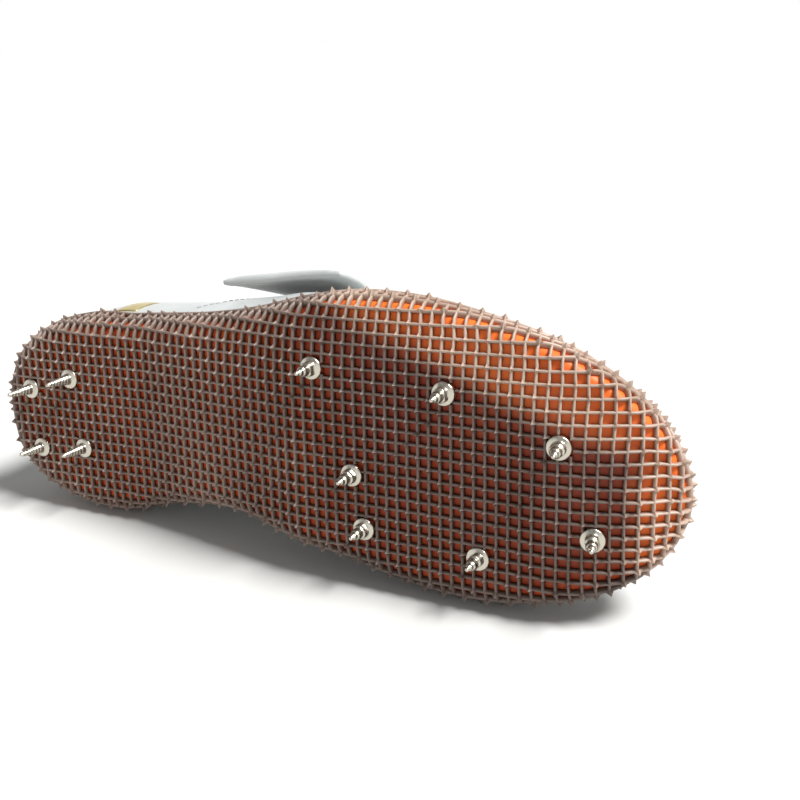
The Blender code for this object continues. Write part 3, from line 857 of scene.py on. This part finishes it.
def foam_at(s, k, top):
    v = FOAM_ROWS[k]
    if v > 2:
        v = 2 + (level(s, station(s)["feather"]) - 2) * (v - 2)
    p = shell(s, v, 0.0)
    if not top:
        return p
    at = station(s)
    edge = shell(s, level(s, at["feather"]), 0)
    share = k / (len(FOAM_ROWS) - 1)
    x, y = inside(at, edge, share)
    return Vector((x, y, tread(x) + at["feather"] - at["base"] - 0.01 * (1 - share)))


midsole = skin("midsole_foam", grid(AROUND, range(len(FOAM_ROWS)), True), foam_at,
               False, True, foam_white)
dress(midsole, "midsole", slot="white_foam")

# %% [markdown]
# The upper is white coated synthetic leather: nearly smooth, a fine pore grain, and soft creases
# where the foot bends. The creases are troughs across the vamp, listed one by one.

# %% Upper
white_coat, tree, shader, place = material("white_coated_synthetic_leather", "D6DAD9", 0.38,
                                           Coat_Weight=0.15, Coat_Roughness=0.35)
pores = texture(tree, place, "Voronoi", I_Scale=1100.0)["Distance"]
soft = texture(tree, place, "Noise", I_Scale=60.0, I_Detail=3.0)["Fac"]
mixed = node(tree, "ShaderNodeMath", {0: pores, 1: soft}, operation="ADD")
bump(tree, shader, mixed.outputs["Value"], 0.12, 0.0003)
stain = ramp(tree, soft, [(0.35, "AFB3B2"), (0.65, "BBBEBD")])
tree.links.new(stain, shader.inputs["Base Color"])

# station, height, width in stations, reach in height, depth in mm
CREASES = [
    (12.6, 2.55, 0.28, 0.30, -1.6), (13.2, 2.62, 0.22, 0.35, 0.8),
    (11.9, 2.45, 0.25, 0.22, -1.2), (-12.4, 2.50, 0.28, 0.30, -1.6),
    (-13.0, 2.60, 0.22, 0.30, 0.8), (-11.7, 2.42, 0.25, 0.22, -1.2),
    (14.6, 2.74, 0.42, 0.24, -1.1), (15.3, 2.70, 0.36, 0.24, 0.5),
    (-14.5, 2.72, 0.42, 0.24, -1.1), (-15.3, 2.68, 0.36, 0.24, 0.4),
    (9.7, 2.45, 0.30, 0.28, -1.0), (-9.6, 2.45, 0.30, 0.28, -1.0),
    (6.2, 2.55, 0.35, 0.25, -1.6), (-6.2, 2.55, 0.35, 0.25, -1.6),
    (3.2, 2.60, 0.40, 0.30, -1.1), (-3.2, 2.60, 0.40, 0.30, -1.1),
    (8.2, 2.35, 0.50, 0.20, 0.8), (-8.2, 2.35, 0.50, 0.20, 0.8),
]


def crease(s, v):
    s = s % (2 * LAST)
    s = s if s <= LAST else s - 2 * LAST
    total = 0.0
    for at, high, wide, reach, deep in CREASES:
        total += deep * math.exp(-((s - at - (v - high) * 1.2) / wide) ** 2
                                 - ((v - high) / reach) ** 2)
    return total


UPPER_K = span(0, 1, 25)


def upper_at(s, k, depth):
    low = level(s, station(s)["feather"] + GAP)
    v = low + (3 - low) * k
    if k > 0.999 and min(s % (2 * LAST), 2 * LAST - s % (2 * LAST)) >= RIDGE:
        return shell(s, 3, depth)
    return shell(s, v, depth + crease(s, v))


upper = skin("upper_shell", grid(AROUND, UPPER_K, True), upper_at, 0, -WALL, white_coat)
dress(upper, "upper", slot="white_synthetic")

# %% Insole and its look
lining, tree, shader, place = material("grey_knit_lining", "C2C6CA", 0.85, Sheen_Weight=0.2)
weave = texture(tree, place, "Wave", I_Scale=380.0, I_Distortion=1.5, I_Detail=1.0)
bump(tree, shader, weave["Fac"], 0.35, 0.0004)


def bed(s, share, lift):
    at = station(s)
    x, y = inside(at, shell(s, level(s, at["feather"] + lift), -(WALL + 2 * GAP)), share)
    return Vector((x, y, tread(x) + at["feather"] - at["base"] + lift))


insole = skin("insole_sock", grid(AROUND, [0, 0.25, 0.5, 0.75, 0.95, 1], True), bed,
              3 * GAP + SOCK, 3 * GAP, lining)
dress(insole, "insole", slot="grey_lining")

# %% [markdown]
# A patch lies on the upper and follows its creases. Its edge is skived: it thins out over the
# last two millimetres or so, as on a real overlay.

# %% Patches on the upper
SKIVE_S, SKIVE_K = 0.12, 0.05  # in stations and in shares of the height


def patch(name, us, ks, look):
    """us are stations, ks shares of the upper's height; the border thins out."""
    u0, u1, k0, k1 = us[0], us[-1], ks[0], ks[-1]

    def form(s, k, top):
        edge = min((s - u0) / SKIVE_S, (u1 - s) / SKIVE_S, (k - k0) / SKIVE_K,
                   (k1 - k) / SKIVE_K, 1)
        return upper_at(s, k, GAP + top * COVER * (0.45 + 0.55 * max(0, edge) ** 0.5))

    return skin(name, grid(us, ks), form, True, False, look)


def fine(a, b, step, rim):
    """Stations or shares from a to b with extra ones close to both ends."""
    n = max(2, round((b - a) / step) + 1)
    middle = [x for x in span(a, b, n) if a + rim < x < b - rim]
    return [a, a + rim * 0.35, a + rim] + middle + [b - rim, b - rim * 0.35, b]


grey_coat, tree, shader, place = material("grey_heel_counter_synthetic", "BDBDB8", 0.42)
fleck = texture(tree, place, "Noise", I_Scale=700.0, I_Detail=3.0)
bump(tree, shader, fleck["Fac"], 0.15, 0.0003)
heel_tab = patch("heel_counter_tab", fine(-2.5, 2.5, 0.2, 0.1), fine(0.22, 0.9, 0.03, 0.04),
                 grey_coat)
dress(heel_tab, "heel_tab", slot="grey_synthetic")

stays = [patch("eyestay_" + side, fine(a, b, 0.2, 0.1), fine(0.78, 1.0, 0.03, 0.03),
               white_coat)
         for side, a, b in (("lateral", 7.0, 13.5), ("medial", -13.5, -7.0))]
for piece in stays:
    dress(piece, "eyestay", slot="white_synthetic")

# %% Gold trim: plain foil panels, laid flat on the upper
gold, tree, shader, place = material("pale_gold_foil_trim", "C9B36A", 0.3, 0.75)
rub = texture(tree, place, "Noise", I_Scale=160.0, I_Detail=3.0)
tree.links.new(ramp(tree, rub["Fac"], [(0.3, "BFA75C"), (0.7, "D6C88C")]),
               shader.inputs["Base Color"])


FOIL_LIFT, FOIL = 0.02, 0.14


def slanted(name, low, high, k0, k1, n=10):
    """A foil panel: at height k0 it spans low (two stations), at k1 it spans high."""
    ks = span(k0, k1, n)
    us = span(0.0, 1.0, n)

    def spot(u, k, depth):
        t = (k - k0) / (k1 - k0)
        a = low[0] + (high[0] - low[0]) * t
        b = low[1] + (high[1] - low[1]) * t
        return upper_at(a + (b - a) * u, k, depth)

    return skin(name, grid(us, ks), spot, FOIL_LIFT + FOIL, FOIL_LIFT, gold)


panels = [
    slanted("gold_panel_side", (4.1, 4.6), (4.2, 4.7), 0.06, 0.42),
    slanted("gold_panel_medial", (-4.6, -4.1), (-4.7, -4.2), 0.06, 0.42),
    slanted("gold_line_thick", (-13.6, -13.15), (-11.45, -11.35), 0.2, 0.72, 16),
    slanted("gold_line_thin", (-12.9, -12.7), (-10.75, -10.7), 0.2, 0.72, 16),
]
for piece in panels:
    dress(piece, slot="white_synthetic")

# %% [markdown]
# The tongue is a soft sheet of foam between two skins: it bows with the throat, lifts a little
# at its free end and is quilted down its middle.

# %% Tongue
TONGUE_T = 2.5


def tongue_at(a, c, depth):
    """a runs 0 to 1 under the throat, then on in millimetres past 1 at the free end."""
    s = 12.5 - 4.5 * min(a, 1)
    narrow = max(0.86, min(1.0, 0.86 + (s - 8) * 0.07))
    p = over(s, c * narrow, depth)
    if a <= 1:
        return p
    far = a - 1
    return p + Vector((-0.66, 0, 0.75)) * far + Vector((0, -p.y * far * 0.0025, 0))


TONGUE_A = span(0, 1, 31) + [1 + 28 * k / 12 for k in range(1, 13)]
TONGUE_C = [-1.2, -1.18, -1.12] + span(-1.05, 1.05, 21) + [1.12, 1.18, 1.2]


def tongue_thick(a, c):
    side = min(1, (1.2 - abs(c)) / 0.12)
    end = min(1, (29 - a) / 3)
    quilt = 1 - 0.22 * math.exp(-(c / 0.06) ** 2) - 0.18 * math.exp(-((abs(c) - 0.9) / 0.05) ** 2)
    return (0.35 + 0.65 * max(0, min(side, end)) ** 0.5) * quilt


def tongue_side(a, c, top):
    thinned = TONGUE_T * 0.4 * (1 - tongue_thick(a, c))
    return tongue_at(a, c, -WALL - 3 * GAP - (thinned if top else TONGUE_T - thinned))


tongue = skin("tongue_foam", grid(TONGUE_A, TONGUE_C), tongue_side, True, False, white_coat)
dress(tongue, "tongue", slot="white_synthetic")

# %% [markdown]
# The collar is a foam roll under a lining. It is thick at the top line and pulled in along
# its sewn channels.

# %% Collar pad
PAD = np.array([(0.60, 0, 1.2), (0.67, 0, 2.8), (0.74, 0, 4.2), (0.81, 0, 5.3), (0.88, 0, 6.2),
                (0.94, 0, 6.8), (1.0, 0, 7.0), (1.0, 1.3, 6.8), (1.0, 2.5, 6.2),
                (1.0, 3.5, 5.2), (1.0, 4.2, 3.6)])
CHANNELS = (-5.2, -2.6, 2.6, 5.2)


def pad_at(s, k, inner):
    t, more, thick = PAD[k]
    end = max(0.35, min(1, (7 - abs(s)) * 0.9 + 0.35))
    soft_end = end * (1 - 0.16 * sum(math.exp(-((s - c) / 0.14) ** 2) for c in CHANNELS))
    plump = soft_end * (1 - 0.13 * math.exp(-((t - 0.76) / 0.02) ** 2))
    top = 1.2 * max(0, min(1, (more - 2.0) / 2.2)) ** 1.5
    depth = WALL + GAP + (thick * plump if inner else top)
    return shell(s, 2 + t, -depth) + station(s)["rise"] * more


collar = skin("collar_padding", grid(span(-7, 7, 85), range(len(PAD))), pad_at,
              False, True, lining)
dress(collar, "collar_pad", slot="grey_lining")

# %% [markdown]
# The lace is a flat woven tape. Each bar crosses the throat, narrows at its ends and dives
# through an eyelet. The runs under the stay are out of sight and left out.

# %% Laces and eyelets
webbing, tree, shader, place = material("white_woven_lace_tape", "C8CBC9", 0.8, Sheen_Weight=0.2)
twill = texture(tree, place, "Wave", I_Scale=520.0, I_Distortion=0.6,
                bands_direction="DIAGONAL")
bump(tree, shader, twill["Fac"], 0.5, 0.0004)
LACE, BAR_W = 1.2, 0.155
BARS = [10.0 + 0.5 * k for k in range(6)]
EYE_C = 1.11


def bar_point(mid, u, c, top):
    reach = abs(c) / EYE_C
    dive = max(0, (reach - 0.94) / 0.06) ** 1.5
    wide = BAR_W * (1 - 0.45 * max(0, min(1, (reach - 0.9) / 0.1)))
    low = 4 * GAP + COVER + 0.02 - 2.0 * min(dive, 1)
    crown = LACE * (1 - 0.55 * abs(u) ** 4)
    return over(mid + u * wide, c, low + (crown if top else 0))


LACE_C = [-EYE_C, -1.10, -1.09, -1.07, -1.05, -1.02, -0.98] + span(-0.94, 0.94, 25) \
    + [0.98, 1.02, 1.05, 1.07, 1.09, 1.10, EYE_C]
LACE_U = [-1, -0.92, -0.7, -0.35, 0, 0.35, 0.7, 0.92, 1]
bars = []
for k, mid in enumerate(BARS):
    bars.append(skin("lace_bar_%d" % (k + 1), grid(LACE_C, LACE_U),
                     lambda c, u, top, m=mid: bar_point(m, u, c, top), True, False, webbing))
for piece in bars:
    dress(piece, "laces", slot="white_webbing")

verts, facing, along = [], [], []
for mid in BARS:
    for side in (-1, 1):
        n = normal(cross, mid, side * EYE_C, -2, 2)
        verts.append(laid(over(mid, side * (EYE_C + 0.004), GAP + COVER - 0.02)))
        facing.append(LAY @ n)
        along.append(LAY @ (cross(mid + 0.02, side * EYE_C) - cross(mid - 0.02, side * EYE_C)))
mesh = places_mesh("eyelet_places", verts, facing=facing, along=along)


def lathe(profile, sides):
    """A turned mesh about Z from radius and height in mm."""
    return stacked("turned", [([r] * sides, high) for r, high in profile])


rim_ring = helper_object("eyelet_rim", lathe([(2.9, 0.0), (2.9, 0.35), (2.6, 0.6), (2.2, 0.5),
                                              (2.0, 0.15), (0.3, 0.1)], 20))
eyelets = run_tree("lace_eyelets", SET, mesh, {"Thing": rim_ring, "Material": white_coat},
                   white_coat)
dress(eyelets, slot="white_synthetic")

# %% [markdown]
# The strap is a stiff padded band. It comes off the loop on the medial side, crosses the
# instep and ends in a wide flap on the lateral side. Both long edges are turned and stitched.

# %% Strap
STRAP = np.array([
    (1.46, 7.75, 0.42, 3.6, 2.2), (1.36, 7.80, 0.46, 3.8, 2.2), (1.2, 7.95, 0.50, 4.2, 2.2),
    (1.0, 8.4, 0.50, 4.6, 2.2), (0.6, 8.85, 0.55, 4.2, 2.2), (0.0, 9.0, 0.60, 4.0, 2.2),
    (-0.6, 8.85, 0.66, 4.2, 2.2), (-1.0, 8.5, 0.85, 4.6, 2.6), (-1.2, 8.1, 1.25, 4.2, 3.2),
    (-1.42, 7.9, 1.50, 5.0, 4.0), (-1.60, 7.75, 1.30, 5.4, 4.0)])
STRAP_SEAM = 0.84


def strap_row(a):
    k = min(int(a), len(STRAP) - 2)
    rows = [STRAP[min(max(k + j, 0), len(STRAP) - 1)] for j in (-1, 0, 1, 2)]
    return spline(*rows, a - k)


def strap_at(a, u, top):
    c, mid, wide, low, thick = strap_row(a)
    end = min(1, a / 0.3, (10 - a) / 0.25)
    round_off = (0.5 + 0.5 * max(0, end) ** 0.5) * (1 - 0.5 * abs(u) ** 10)
    groove = 0.16 * math.exp(-((abs(u) - STRAP_SEAM) / 0.035) ** 2)
    height = low + thick * 0.5 * (1 - round_off)
    if top:
        height = low + thick * (0.5 + 0.5 * round_off) - groove * thick * 0.4
    return over(mid + u * wide, c, height)


STRAP_A = [0, 0.06, 0.15, 0.3] + span(0.5, 9.5, 46) + [9.7, 9.82, 9.93, 10]
STRAP_U = [-1, -0.97, -0.91, -0.87, -0.84, -0.81, -0.75] + span(-0.6, 0.6, 9) \
    + [0.75, 0.81, 0.84, 0.87, 0.91, 0.97, 1]
strap = skin("instep_strap", grid(STRAP_A, STRAP_U), strap_at, True, False, white_coat)
dress(strap, "strap", slot="white_synthetic")

# %% Metal loop: a bent bar, swept by the same tree as the ribs
steel, _, _, _ = material("dark_steel_loop_polished", "8D8F93", 0.25, 1.0)
verts, facing, path = [], [], []
for cs, cc, start in ((8.2, 1.46, 0), (7.3, 1.46, 90), (7.3, 1.38, 180), (8.2, 1.38, 270)):
    for k in range(5):
        a = math.radians(start + 22.5 * k)
        path.append((cs + 0.09 * math.cos(a), cc + 0.02 * math.sin(a)))
for s, c in path:
    verts.append(laid(over(s, c, 1.7)))
    facing.append((LAY @ normal(cross, s, c, -2, 2)).normalized())
mesh = places_mesh("loop_line", verts, ring_edges(len(verts)), facing=facing)
BAR_R = 0.9
bar_section = helper_object("bar_section", places_mesh(
    "bar_section", [(BAR_R * math.cos(a) * MM, BAR_R * math.sin(a) * MM, 0)
                    for a in [math.pi / 4 * k for k in range(8)]], ring_edges(8)))
loop = run_tree("strap_bar_loop", RIBS, mesh, {"Section": bar_section, "Material": steel}, steel)
dress(loop, "strap_loop", slot="steel_loop")

# %% [markdown]
# Each spike is a turned nickel pin on a bevelled flange. In the forefoot it has a boss with
# wrench flats and a stepped cone, in the heel it is slim and finely ringed.

# %% Spikes
nickel, tree, shader, place = material("polished_nickel_steel", "CEC8BA", 0.3, 1.0)
wear = texture(tree, place, "Noise", I_Scale=900.0, I_Detail=3.0)
tree.links.new(ramp(tree, wear["Fac"], [(0.3, 0.2), (0.75, 0.42)]),
               shader.inputs["Roughness"])
FLANGE = [(3.5, -1.5), (3.95, -1.3), (FLANGE_R, -0.9), (FLANGE_R, 0.5), (3.98, 0.75),
          (3.75, 0.92)]
FORE = FLANGE + [(2.75, 1.1), (2.62, 1.3), (2.55, 3.7), (2.4, 3.95), (1.95, 4.1), (1.9, 4.5),
                 (1.75, 5.6), (2.0, 5.75), (1.6, 6.9), (1.2, 7.05), (1.3, 7.2), (1.05, 8.4),
                 (0.85, 8.5), (0.75, 9.7), (0.55, 10.0), (0.3, 10.2)]
HEEL = FLANGE + [(2.5, 1.1), (2.2, 1.3), (2.1, 1.9)]
RINGS, RING_RISE, RING_TAPER = 7, 1.45, 0.185
for groove in range(RINGS):  # fine turned rings up the pin
    high = 2.1 + groove * RING_RISE
    wide = 2.05 - groove * RING_TAPER
    HEEL += [(wide, high), (wide - 0.02, high + 1.2), (wide - 0.12, high + 1.3)]
HEEL += [(0.7, 12.3), (0.5, 12.85), (0.25, 13.0)]
WRENCH = 2.1  # half the width over the boss's wrench flats


def place_spike(name, profile):
    x, y = SPIKES[name]
    out = (LAY @ down_at(x)).normalized()
    turn = Vector((0, 0, 1)).rotation_difference(out).to_matrix()
    mesh = lathe(profile, 28)
    spot = laid(Vector((x, y, tread(x))))
    flat_at = 1.0 + x * 0.7
    for vert in mesh.vertices:
        p = vert.co.copy()
        r, high = math.hypot(p.x, p.y) / MM, p.z / MM
        if profile is FORE and 1.2 < high < 4.0 and r > 1.6:
            angle = math.atan2(p.y, p.x) - flat_at
            across = abs(math.cos(angle)) * r
            if across > WRENCH:
                p.x *= WRENCH / across
                p.y *= WRENCH / across
        vert.co = turn @ p + spot
    mesh.name = name + "_turned"
    dress(add_object(mesh.name, mesh, nickel), name, slot="nickel_steel")


for name in SPIKES:
    place_spike(name, HEEL if "heel" in name else FORE)

# %% [markdown]
# Stitches are little capsules set along the seams by the second tree.

# %% Stitches
thread, _, _, _ = material("white_polyester_thread", "989C9B", 0.6)
STITCH = 2.6  # from one stitch to the next


def stitch_row(points):
    """Even points along an upright line of places with their normals."""
    out, left = [], 0.0
    for (p, n), (q, m) in zip(points, points[1:]):
        length = (q - p).length
        while left < length:
            t = left / length
            out.append((p.lerp(q, t), n.lerp(m, t).normalized(), (q - p).normalized()))
            left += STITCH
        left -= length
    return out


def on_upper(pairs, depth):
    return [(upper_at(s, k, depth), normal(lambda a, b: upper_at(a, b, 0), s, k, 0.02, 0.98))
            for s, k in pairs]


def on_strap(u):
    return [(strap_at(a, u, True),
             normal(cross, strap_row(a)[1] + u * strap_row(a)[2], strap_row(a)[0], -2, 2))
            for a in span(0.4, 9.6, 70)]


def over_rim(s, more):
    """Share of the upper's height that lies a little above the rubber's rim."""
    at = station(s)
    low = level(s, at["feather"] + GAP)
    return (level(s, max(at["rim"], at["feather"]) + more) - low) / (3 - low)


ON_PATCH, ON_SKIN = GAP + COVER, 0.12
seams = []
for more in (1.6, 3.6):
    seams += stitch_row(on_upper([(s, over_rim(s, more)) for s in span(12.2, 21.8, 160)],
                                 ON_SKIN))
for side in (-1, 1):
    for share in (0.815, 0.965):
        seams += stitch_row(on_upper([(side * s, share) for s in span(7.15, 13.3, 120)],
                                     ON_PATCH))
    seams += stitch_row(on_upper([(side * (7.2 - 1.2 * k), 0.74 - 0.6 * k)
                                  for k in span(0, 1, 60)], ON_SKIN))
    seams += stitch_row(on_upper([(side * 2.42, k) for k in span(0.26, 0.86, 40)], ON_PATCH))
    seams += stitch_row(on_strap(side * STRAP_SEAM))
seams += stitch_row(on_upper([(s, 0.86) for s in span(-2.4, 2.4, 60)], ON_PATCH))
mesh = places_mesh("stitch_places", [laid(p) for p, _, _ in seams],
                   facing=[(LAY @ n).normalized() for _, n, _ in seams],
                   along=[(LAY @ d).normalized() for _, _, d in seams])
stitch_mesh = lathe([(0.08, -0.95), (0.22, -0.75), (0.26, 0.0), (0.22, 0.75), (0.08, 0.95)], 6)
stitch_mesh.transform(Matrix.Rotation(math.pi / 2, 4, "Y"))
stitch = helper_object("stitch", stitch_mesh)
stitches = run_tree("seam_stitches", SET, mesh, {"Thing": stitch, "Material": thread}, thread)
print("stitches", len(seams))
dress(stitches, slot="white_synthetic")
